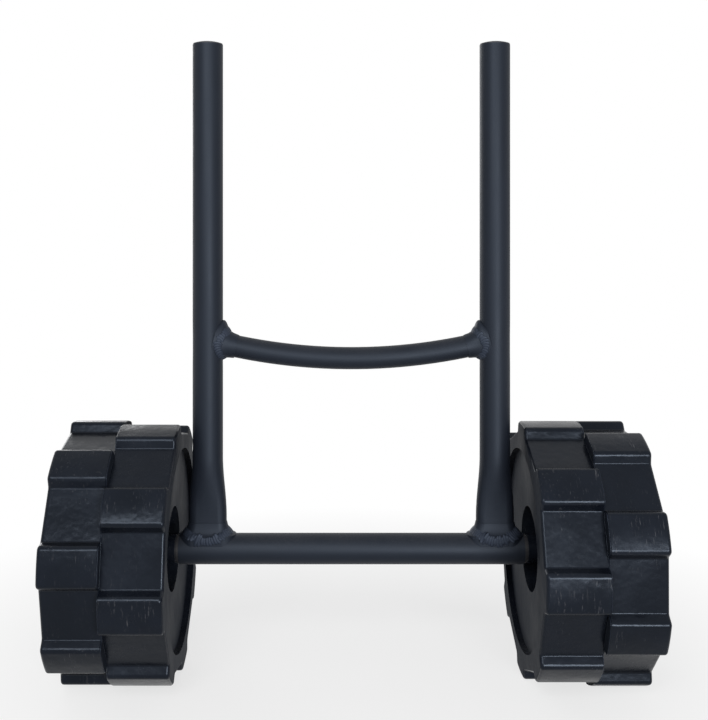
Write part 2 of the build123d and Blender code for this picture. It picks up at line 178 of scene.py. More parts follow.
def fine_grain(tree, place, size):
    """Fine surface grain: a fleck from 0 to 1, about size across."""
    group = bpy.data.node_groups.get("fine_grain")
    if group is None:
        group, given, result = new_tree(
            "ShaderNodeTree", "fine_grain",
            {"Place": (VECTOR, None), "Size": (NUMBER, 0.4 * MM)},
            {"Height": NUMBER},
        )
        per_metre = math_node(group, "DIVIDE", 1.0, given.outputs["Size"])
        height = noise(group, given.outputs["Place"], per_metre, detail=3.0, roughness=0.62)
        group.links.new(height, result.inputs["Height"])
    inputs = {"Place": place, "Size": size}
    return add_node(tree, "ShaderNodeGroup", inputs, node_tree=group).outputs["Height"]


def broad_blotches(tree, place, size):
    """Broad uneven patches, from 0 to 1, for colour and sheen that vary over a surface."""
    group = bpy.data.node_groups.get("broad_blotches")
    if group is None:
        group, given, result = new_tree(
            "ShaderNodeTree", "broad_blotches",
            {"Place": (VECTOR, None), "Size": (NUMBER, 60 * MM)},
            {"Mask": NUMBER},
        )
        per_metre = math_node(group, "DIVIDE", 1.0, given.outputs["Size"])
        value = noise(group, given.outputs["Place"], per_metre, detail=4.0, roughness=0.55)
        group.links.new(remap(group, value, low=0.36, high=0.64), result.inputs["Mask"])
    inputs = {"Place": place, "Size": size}
    return add_node(tree, "ShaderNodeGroup", inputs, node_tree=group).outputs["Mask"]


def scuff_streaks(tree, place, width, amount):
    """Thin scuffs and rubbed streaks along place's Z axis, as a mask from 0 to 1."""
    group = bpy.data.node_groups.get("scuff_streaks")
    if group is None:
        group, given, result = new_tree(
            "ShaderNodeTree", "scuff_streaks",
            {
                "Place": (VECTOR, None),
                "Width": (NUMBER, 1.2 * MM),
                "Amount": (NUMBER, 0.5),
            },
            {"Mask": NUMBER},
        )
        drawn_out = (1.0, 1.0, 0.09)
        widths_per_patch = 22.0
        where = given.outputs["Place"]
        per_metre = math_node(group, "DIVIDE", 1.0, given.outputs["Width"])
        patches_per_metre = math_node(group, "DIVIDE", per_metre, widths_per_patch)
        long_way = stretched(group, where, drawn_out)
        streak = noise(group, long_way, per_metre, detail=3.0, roughness=0.7)
        patch = noise(group, where, patches_per_metre, detail=2.0, roughness=0.6)
        threshold = remap(group, given.outputs["Amount"], 0.0, 1.0, to_low=0.72, to_high=0.46)
        thin = remap(group, math_node(group, "SUBTRACT", streak, threshold), low=0.0, high=0.1)
        patches = remap(group, patch, low=0.47, high=0.66)
        group.links.new(math_node(group, "MULTIPLY", thin, patches), result.inputs["Mask"])
    inputs = {"Place": place, "Width": width, "Amount": amount}
    return add_node(tree, "ShaderNodeGroup", inputs, node_tree=group).outputs["Mask"]


def settled_dust(tree, place, facing, amount):
    """Dust that has settled where the surface faces up, as a mask from 0 to 1."""
    group = bpy.data.node_groups.get("settled_dust")
    if group is None:
        group, given, result = new_tree(
            "ShaderNodeTree", "settled_dust",
            {
                "Place": (VECTOR, None),
                "Facing": (VECTOR, None),
                "Amount": (NUMBER, 0.3),
            },
            {"Mask": NUMBER},
        )
        specks_per_metre, drifts_per_metre, falloff = 900.0, 28.0, 1.6
        where = given.outputs["Place"]
        up = add_node(group, "ShaderNodeSeparateXYZ", {0: given.outputs["Facing"]}).outputs["Z"]
        lying = math_node(group, "POWER", math_node(group, "MAXIMUM", up, 0.0), falloff)
        specks = noise(group, where, specks_per_metre, detail=3.0, roughness=0.7)
        drift = noise(group, where, drifts_per_metre, detail=3.0, roughness=0.6)
        thickness = remap(group, drift, low=0.35, high=0.7, to_low=0.35)
        film = math_node(group, "MULTIPLY", thickness, remap(group, specks, low=0.3, high=0.75))
        dusty = math_node(group, "MULTIPLY", lying, film)
        mask = math_node(group, "MULTIPLY", dusty, given.outputs["Amount"])
        group.links.new(mask, result.inputs["Mask"])
    inputs = {"Place": place, "Facing": facing, "Amount": amount}
    return add_node(tree, "ShaderNodeGroup", inputs, node_tree=group).outputs["Mask"]


# Materials

def new_material(name, specular=0.5, reflection_tint=WHITE):
    """A material, its tree, its Principled shader, the object's coordinates and its facing."""
    material = bpy.data.materials.new(name)
    tree = emptied_tree(material)
    inputs = {"Specular IOR Level": specular, "Specular Tint": reflection_tint}
    shader = add_node(tree, "ShaderNodeBsdfPrincipled", inputs)
    add_node(tree, "ShaderNodeOutputMaterial", {"Surface": shader.outputs["BSDF"]})
    coordinates = add_node(tree, "ShaderNodeTexCoord")
    return material, tree, shader, coordinates.outputs["Object"], coordinates.outputs["Normal"]


def feed(tree, node, outputs):
    """Links other nodes' outputs to a node's inputs by name."""
    for name, output in outputs.items():
        tree.links.new(output, node.inputs[name])


def bumped(tree, shader, height, depth, strength=1.0, under=None):
    """Raises the shader's normal by height times depth, over an earlier bump if there is one."""
    inputs = {"Height": height, "Distance": depth, "Strength": strength}
    if under is not None:
        inputs["Normal"] = under
    normal = add_node(tree, "ShaderNodeBump", inputs).outputs["Normal"]
    tree.links.new(normal, shader.inputs["Normal"])
    return normal


def spread(tree, mask, value, less, more):
    """A number that goes from value - less to value + more over a mask."""
    return remap(tree, mask, 0.0, 1.0, value - less, value + more)


def roughened(tree, roughness, mask, amount):
    """A roughness raised by a mask times an amount."""
    added = math_node(tree, "MULTIPLY", mask, amount)
    return math_node(tree, "ADD", roughness, added, clamp=True)


def dress(nodes, material):
    """Gives CAD nodes a material in place of the plain one that they came with."""
    for name in nodes:
        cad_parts[name].data.materials[0] = material


def both(*names):
    """The left and the right node of each name."""
    return [f"{side}_{name}" for side in SIDES for name in names]


def powder_coat(name, look, lightness=1.0, weathered=True):
    """Satin powder coat: orange peel, grain, patchy sheen, and if weathered rubs and dust."""
    material, tree, shader, place, facing = new_material(name, look.specular, COOL_REFLECTION)
    base = tinted(look.colour, lightness)
    grain = fine_grain(tree, place, look.grain_size)
    peel = fine_grain(tree, place, look.peel_size)
    blotch = broad_blotches(tree, place, look.blotch_size)
    shade = patchy(tree, blotch, base, dark=0.9, light=1.08)
    shade = flecked(tree, shade, grain, base, light=1.5)
    roughness = spread(tree, blotch, look.roughness, less=0.03, more=0.03)
    if weathered:
        rub_width, rub_strength, rub_lightness = 1.6 * MM, 0.35, 2.6
        rub = scuff_streaks(tree, place, rub_width, look.rubs)
        rubbed = math_node(tree, "MULTIPLY", rub, rub_strength)
        shade = mixed(tree, rubbed, shade, tinted(base, rub_lightness))
        dust = settled_dust(tree, place, facing, look.dust)
        shade = mixed(tree, dust, shade, tinted(look.dust_colour, 1.0))
        roughness = roughened(tree, roughness, dust, amount=0.25)
    feed(tree, shader, {"Base Color": shade, "Roughness": roughness})
    under = bumped(tree, shader, peel, look.peel_depth)
    bumped(tree, shader, grain, look.grain_depth, under=under)
    return material


def plain_plastic(name, look, colour, roughness):
    """Moulded matt plastic: an even spark-eroded grain and a slightly patchy sheen."""
    material, tree, shader, place, _ = new_material(name, SMALL_PLASTIC_SPECULAR)
    grain = fine_grain(tree, place, look.grain_size)
    blotch = broad_blotches(tree, place, look.blotch_size)
    shade = patchy(tree, blotch, colour, dark=0.88, light=1.12)
    shade = flecked(tree, shade, grain, colour, light=1.6, low=0.55, high=0.75)
    sheen = spread(tree, blotch, roughness, less=0.05, more=0.05)
    feed(tree, shader, {"Base Color": shade, "Roughness": sheen})
    bumped(tree, shader, grain, look.grain_depth)
    return material


def turned_steel(name, look, colour, roughness, lines_per_metre):
    """Bare or zinc-plated steel with fine drawing lines along the axle and dull patches."""
    material, tree, shader, place, _ = new_material(name)
    drawn_out, line_lightness = (0.04, 1.0, 1.0), 0.6
    long_way = stretched(tree, place, drawn_out)
    lines = noise(tree, long_way, lines_per_metre, detail=3.0, roughness=0.6)
    blotch = broad_blotches(tree, place, look.blotch_size)
    shade = patchy(tree, blotch, colour, dark=0.82, light=1.05)
    dark_lines = remap(tree, lines, low=0.4, high=0.7, to_high=0.35)
    shade = mixed(tree, dark_lines, shade, tinted(colour, line_lightness))
    sheen = spread(tree, blotch, roughness, less=0.0, more=0.12)
    metal = remap(tree, blotch, 0.0, 1.0, to_low=1.0, to_high=0.92)
    feed(tree, shader, {"Base Color": shade, "Roughness": sheen, "Metallic": metal})
    bumped(tree, shader, lines, look.line_depth)
    return material


def round_the_axle(tree, place, centre):
    """A place's distance from an axle along X, and the place unrolled: across, outwards, round."""
    offset = add_node(
        tree, "ShaderNodeVectorMath", {0: place, 1: centre}, operation="SUBTRACT"
    ).outputs[0]
    across, forward, upward = add_node(tree, "ShaderNodeSeparateXYZ", {0: offset}).outputs
    radius = length_of(tree, joined(tree, y=forward, z=upward))
    angle = math_node(tree, "ARCTAN2", forward, upward)
    around = math_node(tree, "MULTIPLY", angle, radius)
    return radius, joined(tree, across, radius, around)


def wheel_plastic(name, look, centre, lightness=1.0):
    """Blow-moulded black plastic: mould grain, dull blotches, and grey scuffs on tread and lugs.

    centre is a point on the wheel's own axis, which runs along X.
    """
    material, tree, shader, place, facing = new_material(name, look.specular, COOL_REFLECTION)
    base = tinted(look.colour, lightness)
    radius, unrolled = round_the_axle(tree, place, centre)
    grain = fine_grain(tree, place, look.grain_size)
    waviness = fine_grain(tree, place, look.wave_size)
    blotch = broad_blotches(tree, place, look.blotch_size)
    scuff_width, rub_width = 1.1 * MM, 2.3 * MM
    rub_strength, wear_strength, dull_lightness = 0.3, 0.8, 1.7
    scuff = scuff_streaks(tree, unrolled, scuff_width, look.scuffs)
    rub = scuff_streaks(tree, place, rub_width, look.scuffs)
    tread_start, tread_end = look.tread_radius - 4 * MM, look.tread_radius + 2 * MM
    on_tread = remap(tree, radius, tread_start, tread_end, to_low=0.25)
    lug_start = look.lug_radius - 3.5 * MM
    on_lug = remap(tree, radius, lug_start, look.lug_radius, to_low=0.35)
    wear = math_node(tree, "MULTIPLY", scuff, math_node(tree, "MULTIPLY", on_tread, on_lug))
    wear = math_node(tree, "MAXIMUM", wear, math_node(tree, "MULTIPLY", rub, rub_strength))
    dull = math_node(tree, "MULTIPLY", blotch, math_node(tree, "MULTIPLY", on_tread, look.dulling))
    shade = patchy(tree, blotch, base, dark=0.88, light=1.1)
    shade = flecked(tree, shade, grain, base, light=1.45)
    shade = mixed(tree, dull, shade, tinted(base, dull_lightness))
    worn = math_node(tree, "MULTIPLY", wear, wear_strength)
    shade = mixed(tree, worn, shade, tinted(look.scuff_colour, 1.0))
    roughness = spread(tree, blotch, look.roughness, less=0.05, more=0.06)
    roughness = roughened(tree, roughness, wear, amount=0.15)
    across = add_node(tree, "ShaderNodeSeparateXYZ", {0: facing}).outputs["X"]
    sideways = math_node(tree, "ABSOLUTE", across)
    on_side = remap(tree, sideways, low=0.8, high=0.95)
    roughness = roughened(tree, roughness, on_side, look.side_dulling)
    feed(tree, shader, {"Base Color": shade, "Roughness": roughness})
    under = bumped(tree, shader, waviness, look.wave_depth)
    under = bumped(tree, shader, grain, look.grain_depth, under=under)
    bumped(tree, shader, scuff, look.scuff_depth, strength=0.6, under=under)
    return material


# Geometry Nodes

def new_geometry_tree(name, inputs):
    """An empty geometry tree with a geometry way in and out, and named inputs between them."""
    every_input = {"Geometry": ("NodeSocketGeometry", None), **inputs}
    return new_tree("GeometryNodeTree", name, every_input, {"Geometry": "NodeSocketGeometry"})


def even_points(tree, given, step):
    """The given mesh's edges as curves, with points a step apart."""
    edges = {"Mesh": given.outputs["Geometry"]}
    line = add_node(tree, "GeometryNodeMeshToCurve", edges).outputs["Curve"]
    inputs = {"Curve": line, "Length": step}
    return add_node(tree, "GeometryNodeResampleCurve", inputs, mode="LENGTH").outputs["Curve"]


def about_one(tree, unevenness):
    """The two numbers as far below and above 1 as the unevenness says."""
    return math_node(tree, "SUBTRACT", 1.0, unevenness), math_node(tree, "ADD", 1.0, unevenness)


def finish_tree(tree, given, result, geometry):
    """Ends a geometry tree: shaded smooth, instances made real, with the given material."""
    smooth = add_node(tree, "GeometryNodeSetShadeSmooth", {"Geometry": geometry}).outputs[0]
    real = add_node(tree, "GeometryNodeRealizeInstances", {"Geometry": smooth}).outputs[0]
    inputs = {"Geometry": real, "Material": given.outputs["Material"]}
    made = add_node(tree, "GeometryNodeSetMaterial", inputs).outputs[0]
    tree.links.new(made, result.inputs["Geometry"])


def ripple_tree():
    """Overlapping scales along seams: each a flat lens, tilted over the one before it."""
    tree, given, result = new_geometry_tree("weld_ripple_tree", {
        "Pitch": (NUMBER, 1.8 * MM),
        "Width": (NUMBER, 8 * MM),
        "Rise": (NUMBER, 0.5 * MM),
        "Lean": (NUMBER, 0.2),
        "Unevenness": (NUMBER, 0.2),
        "Seed": ("NodeSocketInt", 3),
        "Material": ("NodeSocketMaterial", None),
    })
    points = even_points(tree, given, given.outputs["Pitch"])
    inputs = {"Radius": 1.0, "Subdivisions": 2}
    lens = add_node(tree, "GeometryNodeMeshIcoSphere", inputs).outputs["Mesh"]
    outward = add_node(
        tree, "GeometryNodeInputNamedAttribute", {"Name": "outward"}, data_type="FLOAT_VECTOR"
    ).outputs["Attribute"]
    tangent = add_node(tree, "GeometryNodeInputTangent").outputs["Tangent"]
    along = add_node(
        tree, "FunctionNodeAlignRotationToVector", {"Vector": tangent}, axis="X", pivot_axis="AUTO"
    ).outputs["Rotation"]
    upright = add_node(
        tree, "FunctionNodeAlignRotationToVector", {"Rotation": along, "Vector": outward},
        axis="Z", pivot_axis="X",
    ).outputs["Rotation"]
    leaning = add_node(
        tree, "FunctionNodeRotateRotation",
        {"Rotation": upright, "Rotate By": joined(tree, y=given.outputs["Lean"])},
        rotation_space="LOCAL",
    ).outputs["Rotation"]
    low, high = about_one(tree, given.outputs["Unevenness"])
    uneven = add_node(
        tree, "FunctionNodeRandomValue",
        {
            0: joined(tree, 1.0, low, low), 1: joined(tree, 1.0, high, high),
            "Seed": given.outputs["Seed"],
        },
        data_type="FLOAT_VECTOR",
    ).outputs[0]
    half_length = math_node(tree, "MULTIPLY", given.outputs["Pitch"], RIPPLE_OVERLAP)
    half_width = math_node(tree, "MULTIPLY", given.outputs["Width"], 0.5)
    size = joined(tree, half_length, half_width, given.outputs["Rise"])
    scales = add_node(tree, "GeometryNodeInstanceOnPoints", {
        "Points": points, "Instance": lens, "Rotation": leaning,
        "Scale": stretched(tree, size, uneven),
    }).outputs["Instances"]
    finish_tree(tree, given, result, scales)
    return tree


def flash_tree():
    """A thin uneven ridge of squeezed-out plastic along closed lines."""
    tree, given, result = new_geometry_tree("parting_flash_tree", {
        "Step": (NUMBER, 1.5 * MM),
        "Thickness": (NUMBER, 0.6 * MM),
        "Unevenness": (NUMBER, 0.4),
        "Material": ("NodeSocketMaterial", None),
    })
    line = even_points(tree, given, given.outputs["Step"])
    place = add_node(tree, "GeometryNodeInputPosition").outputs["Position"]
    lumps_per_metre = 210.0
    ragged = noise(tree, place, lumps_per_metre, detail=2.0, roughness=0.6)
    low, high = about_one(tree, given.outputs["Unevenness"])
    scale = remap(tree, ragged, 0.35, 0.65, low, high)
    half = math_node(tree, "MULTIPLY", given.outputs["Thickness"], 0.5)
    profile = add_node(
        tree, "GeometryNodeCurvePrimitiveCircle", {"Resolution": FLASH_SIDES, "Radius": half}
    ).outputs["Curve"]
    ridge = add_node(
        tree, "GeometryNodeCurveToMesh", {"Curve": line, "Profile Curve": profile, "Scale": scale}
    ).outputs["Mesh"]
    finish_tree(tree, given, result, ridge)
    return tree


def set_inputs(modifier, values):
    """Sets a Geometry Nodes modifier's inputs by their sockets' identifiers."""
    for item in modifier.node_group.interface.items_tree:
        if item.in_out == "INPUT" and item.name in values:
            modifier[item.identifier] = values[item.name]


def grown(name, loops, tree, values, outward=None):
    """A plain mesh grown by a geometry tree from closed loops of points, with no modifier left."""
    mesh = bpy.data.meshes.new(f"{name}_lines")
    points, edges = [], []
    for loop in loops:
        start = len(points)
        points += loop
        edges += [(start + i, start + (i + 1) % len(loop)) for i in range(len(loop))]
    mesh.from_pydata(points, edges, [])
    if outward:
        attribute = mesh.attributes.new("outward", "FLOAT_VECTOR", "POINT")
        attribute.data.foreach_set("vector", [value for normal in outward for value in normal])
    piece = bpy.data.objects.new(name, mesh)
    bpy.context.scene.collection.objects.link(piece)
    modifier = piece.modifiers.new("grow", "NODES")
    modifier.node_group = tree
    set_inputs(modifier, values)
    evaluated = piece.evaluated_get(bpy.context.evaluated_depsgraph_get())
    made = bpy.data.meshes.new_from_object(evaluated)
    piece.modifiers.clear()
    piece.data = made
    made.name = name
    if not made.polygons:
        raise RuntimeError(f"{name} came out empty")
    return piece


# Where the welds and parting lines run

def laid_on(node, seam):
    """Where rays from outside meet a CAD node: seam holds (point inside, outward direction)."""
    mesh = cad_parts[node].data
    tree = BVHTree.FromPolygons([v.co for v in mesh.vertices], [p.vertices for p in mesh.polygons])
    points, normals = [], []
    for inside, outward in seam:
        direction = outward.normalized()
        start = inside + direction * SEAM_REACH
        place, normal, _, _ = tree.ray_cast(start, -direction, SEAM_REACH)
        if place is None:
            continue
        points.append(place)
        normals.append(normal if normal.dot(direction) > 0 else -normal)
    if len(points) < len(seam) // 2:
        raise RuntimeError(f"the seam misses {node}")
    return points, normals


def foot_seam(side):
    """Round a foot, where the post stands on the axle tube."""
    low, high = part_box(f"{side}_upright")
    tube_low, tube_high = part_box("axle_tube")
    middle = (low.x + high.x) / 2
    half_width = (high.x - low.x) / 2
    half_depth = FOOT_DEPTH / 2
    tube_radius = (tube_high.z - tube_low.z) / 2
    tube_height = (tube_high.z + tube_low.z) / 2
    seam = []
    for step in range(SEAM_STEPS):
        turn = math.tau * step / SEAM_STEPS
        cosine, sine = math.cos(turn), math.sin(turn)
        x = half_width * cosine
        y = half_depth * sine
        z = math.sqrt(tube_radius ** 2 - y ** 2) - FOOT_SEAM_SAG * sine ** 2
        from_post = Vector((cosine / half_width, sine / half_depth, 0)).normalized()
        from_tube = Vector((0, y, z)).normalized()
        seam.append((Vector((middle + x, y, tube_height + z)), from_post + from_tube))
    return seam


def brace_seam(side):
    """Round an end of the brace, where it meets a post."""
    sign = SIDE_SIGN[side]
    post_low, post_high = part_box(f"{side}_upright")
    brace_low, brace_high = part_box("cross_brace")
    post_x = (post_low.x + post_high.x) / 2
    post_radius = (post_high.y - post_low.y) / 2
    brace_radius = (brace_high.y - brace_low.y) / 2
    near = abs(post_x) - post_radius
    slope = math.asin(near / BRACE_BEND_RADIUS)
    height = brace_low.z + brace_radius + near ** 2 / (2 * BRACE_BEND_RADIUS)
    along = Vector((sign * math.cos(slope), 0, math.sin(slope)))
    up = Vector((-sign * math.sin(slope), 0, math.cos(slope)))
    back = Vector((0, 1, 0))
    seam = []
    for step in range(SEAM_STEPS):
        turn = math.tau * step / SEAM_STEPS
        from_brace = back * math.cos(turn) + up * math.sin(turn)
        start = Vector((sign * near, 0, height)) + from_brace * brace_radius
        depth = post_radius - math.sqrt(post_radius ** 2 - start.y ** 2)
        point = start + along * (depth / math.cos(slope))
        from_post = Vector((point.x - post_x, start.y, 0)).normalized()
        seam.append((point, from_brace + from_post))
    return seam


def wheel_centre(side):
    """The middle of a wheel's inner half, on its axis."""
    low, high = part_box(f"{side}_inner_wheel_half")
    return (low + high) / 2


def parting_line(node, side):
    """The closed outline of a wheel half where it meets the other half, on its parting face."""
    low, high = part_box(f"{side}_inner_wheel_half")
    parting = max(abs(low.x), abs(high.x))
    centre_z = wheel_centre(side).z
    found = {}
    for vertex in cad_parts[node].data.vertices:
        x, y, z = vertex.co
        radius = math.hypot(y, z - centre_z)
        if abs(abs(x) - parting) < PARTING_TOLERANCE and radius > PARTING_FACE_RADIUS:
            found[(round(y, 6), round(z, 6))] = math.atan2(z - centre_z, y)
    ordered = sorted(found, key=found.get)
    if len(ordered) < FEWEST_OUTLINE_POINTS:
        raise RuntimeError(f"{node} has no outline at its parting face")
    return [Vector((SIDE_SIGN[side] * parting, y, z)) for y, z in ordered]


# Sizes and colours

class CarrierCoatLook(bpy.types.PropertyGroup):
    """The powder coat on the welded tubes."""

    colour: bpy.props.FloatVectorProperty(
        name="Colour", description="Colour of the powder coat",
        subtype="COLOR", min=0, max=1, default=(0.0075, 0.0095, 0.0145),
    )
    specular: bpy.props.FloatProperty(
        name="Specular level", description="Strength of its mirror-like part",
        subtype="FACTOR", min=0, max=1, default=0.24,
    )
    roughness: bpy.props.FloatProperty(
        name="Roughness", description="How dull the coat is",
        subtype="FACTOR", min=0, max=1, default=0.5,
    )
    blotch_size: bpy.props.FloatProperty(
        name="Blotch size", description="Distance between patches of another sheen",
        unit="LENGTH", default=70 * MM,
    )
    peel_size: bpy.props.FloatProperty(
        name="Orange peel size", description="Distance between its low bumps",
        unit="LENGTH", default=2.2 * MM,
    )
    peel_depth: bpy.props.FloatProperty(
        name="Orange peel depth", description="Height of its low bumps",
        unit="LENGTH", default=0.05 * MM,
    )
    grain_size: bpy.props.FloatProperty(
        name="Grain size", description="Distance between powder grains",
        unit="LENGTH", default=0.45 * MM,
    )
    grain_depth: bpy.props.FloatProperty(
        name="Grain depth", description="Height of the powder grains",
        unit="LENGTH", default=0.025 * MM,
    )
    rubs: bpy.props.FloatProperty(
        name="Rubs", description="Share of the coat that is lightly rubbed",
        subtype="FACTOR", min=0, max=1, default=0.25,
    )
    dust: bpy.props.FloatProperty(
        name="Dust", description="Dust on surfaces that face up",
        subtype="FACTOR", min=0, max=1, default=0.22,
    )
    dust_colour: bpy.props.FloatVectorProperty(
        name="Dust colour", description="Colour of the settled dust",
        subtype="COLOR", min=0, max=1, default=(0.16, 0.16, 0.165),
    )


class CarrierWeldLook(bpy.types.PropertyGroup):
    """The beads at the feet and at the brace's ends."""

    lightness: bpy.props.FloatProperty(
        name="Lightness", description="Bead's colour as a multiple of the coat's",
        min=0.5, max=3, default=1.1,
    )
    ripple_lightness: bpy.props.FloatProperty(
        name="Ripple lightness", description="Ripples' colour as a multiple of the coat's",
        min=0.5, max=5, default=2.6,
    )
    pitch: bpy.props.FloatProperty(
        name="Ripple pitch", description="Distance from one ripple to the next",
        unit="LENGTH", default=2.6 * MM,
    )
    foot_width: bpy.props.FloatProperty(
        name="Foot ripple width", description="Width of the ripples at the posts' feet",
        unit="LENGTH", default=11 * MM,
    )
    foot_rise: bpy.props.FloatProperty(
        name="Foot ripple rise", description="Height of a ripple at the feet",
        unit="LENGTH", default=0.85 * MM,
    )
    brace_width: bpy.props.FloatProperty(
        name="Brace ripple width", description="Width of the ripples at the brace's ends",
        unit="LENGTH", default=8 * MM,
    )
    brace_rise: bpy.props.FloatProperty(
        name="Brace ripple rise", description="Height of a ripple at the brace",
        unit="LENGTH", default=0.45 * MM,
    )
    lean: bpy.props.FloatProperty(
        name="Ripple lean", description="How far each ripple tilts over the one before it",
        subtype="ANGLE", default=0.2,
    )
    unevenness: bpy.props.FloatProperty(
        name="Unevenness", description="Spread of the ripples' sizes",
        subtype="FACTOR", min=0, max=0.5, default=0.3,
    )


class CarrierPlasticLook(bpy.types.PropertyGroup):
    """The small plastic pieces: caps, inserts, thrust washers and bushes."""

    cap_colour: bpy.props.FloatVectorProperty(
        name="Cap colour", description="Colour of the post caps",
        subtype="COLOR", min=0, max=1, default=(0.030, 0.032, 0.038),
    )
    inner_colour: bpy.props.FloatVectorProperty(
        name="Inner colour", description="Colour of the inserts, thrust washers and bushes",
        subtype="COLOR", min=0, max=1, default=(0.022, 0.022, 0.025),
    )
    grain_size: bpy.props.FloatProperty(
        name="Grain size", description="Distance between spark-eroded pits",
        unit="LENGTH", default=0.5 * MM,
    )
    grain_depth: bpy.props.FloatProperty(
        name="Grain depth", description="Depth of the pits",
        unit="LENGTH", default=0.03 * MM,
    )
    blotch_size: bpy.props.FloatProperty(
        name="Blotch size", description="Distance between patches of another sheen",
        unit="LENGTH", default=14 * MM,
    )


class CarrierWheelLook(bpy.types.PropertyGroup):
    """The blow-moulded wheels."""

    colour: bpy.props.FloatVectorProperty(
        name="Colour", description="Colour of the plastic",
        subtype="COLOR", min=0, max=1, default=(0.004, 0.0052, 0.0084),
    )
    scuff_colour: bpy.props.FloatVectorProperty(
        name="Scuff colour", description="Colour of the grey scuffs",
        subtype="COLOR", min=0, max=1, default=(0.13, 0.13, 0.14),
    )
    specular: bpy.props.FloatProperty(
        name="Specular level", description="Strength of its mirror-like part",
        subtype="FACTOR", min=0, max=1, default=0.17,
    )
    roughness: bpy.props.FloatProperty(
        name="Roughness", description="How dull the plastic is",
        subtype="FACTOR", min=0, max=1, default=0.25,
    )
    side_dulling: bpy.props.FloatProperty(
        name="Side dulling", description="How much rougher the sidewalls are than the tread",
        subtype="FACTOR", min=0, max=0.6, default=0.46,
    )
    grain_size: bpy.props.FloatProperty(
        name="Grain size", description="Distance between the mould's grains",
        unit="LENGTH", default=0.7 * MM,
    )
    grain_depth: bpy.props.FloatProperty(
        name="Grain depth", description="Depth of the mould's grain",
        unit="LENGTH", default=0.03 * MM,
    )
    wave_size: bpy.props.FloatProperty(
        name="Wave size", description="Distance between the shell's low waves",
        unit="LENGTH", default=30 * MM,
    )
    wave_depth: bpy.props.FloatProperty(
        name="Wave depth", description="Height of the shell's low waves",
        unit="LENGTH", default=0.9 * MM,
    )
    blotch_size: bpy.props.FloatProperty(
        name="Blotch size", description="Distance between dull patches",
        unit="LENGTH", default=48 * MM,
    )
    dulling: bpy.props.FloatProperty(
        name="Dulling", description="Greying of the dull patches",
        subtype="FACTOR", min=0, max=1, default=0.35,
    )
    scuffs: bpy.props.FloatProperty(
        name="Scuffs", description="Share of the tread that is scuffed",
        subtype="FACTOR", min=0, max=1, default=0.42,
    )
    scuff_depth: bpy.props.FloatProperty(
        name="Scuff depth", description="How far the roughed-up scuffs stand up",
        unit="LENGTH", default=0.03 * MM,
    )
    lug_radius: bpy.props.FloatProperty(
        name="Lug radius", description="Radius at the tops of the lugs",
        unit="LENGTH", default=125 * MM,
    )
    tread_radius: bpy.props.FloatProperty(
        name="Tread radius", description="Radius at the floor between lugs",
        unit="LENGTH", default=115.5 * MM,
    )
    flash_thickness: bpy.props.FloatProperty(
        name="Flash thickness", description="Thickness of the squeezed-out line between the halves",
        unit="LENGTH", default=0.9 * MM,
    )
    flash_lightness: bpy.props.FloatProperty(
        name="Flash lightness", description="Flash's colour as a multiple of the wheel's",
        min=0.5, max=5, default=2.0,
    )


class CarrierSteelLook(bpy.types.PropertyGroup):
    """The rod, the plated washers and clips, and the screws."""

    rod_colour: bpy.props.FloatVectorProperty(
        name="Rod colour", description="Colour of the drawn steel rod",
        subtype="COLOR", min=0, max=1, default=(0.50, 0.50, 0.51),
    )
    zinc_colour: bpy.props.FloatVectorProperty(
        name="Zinc colour", description="Colour of the plated washers and clips",
        subtype="COLOR", min=0, max=1, default=(0.58, 0.59, 0.61),
    )
    screw_colour: bpy.props.FloatVectorProperty(
        name="Screw colour", description="Colour of the wheel screws",
        subtype="COLOR", min=0, max=1, default=(0.45, 0.45, 0.47),
    )
    blotch_size: bpy.props.FloatProperty(
        name="Blotch size", description="Distance between dull patches",
        unit="LENGTH", default=9 * MM,
    )
    line_depth: bpy.props.FloatProperty(
        name="Line depth", description="Depth of the drawing lines",
        unit="LENGTH", default=0.01 * MM,
    )


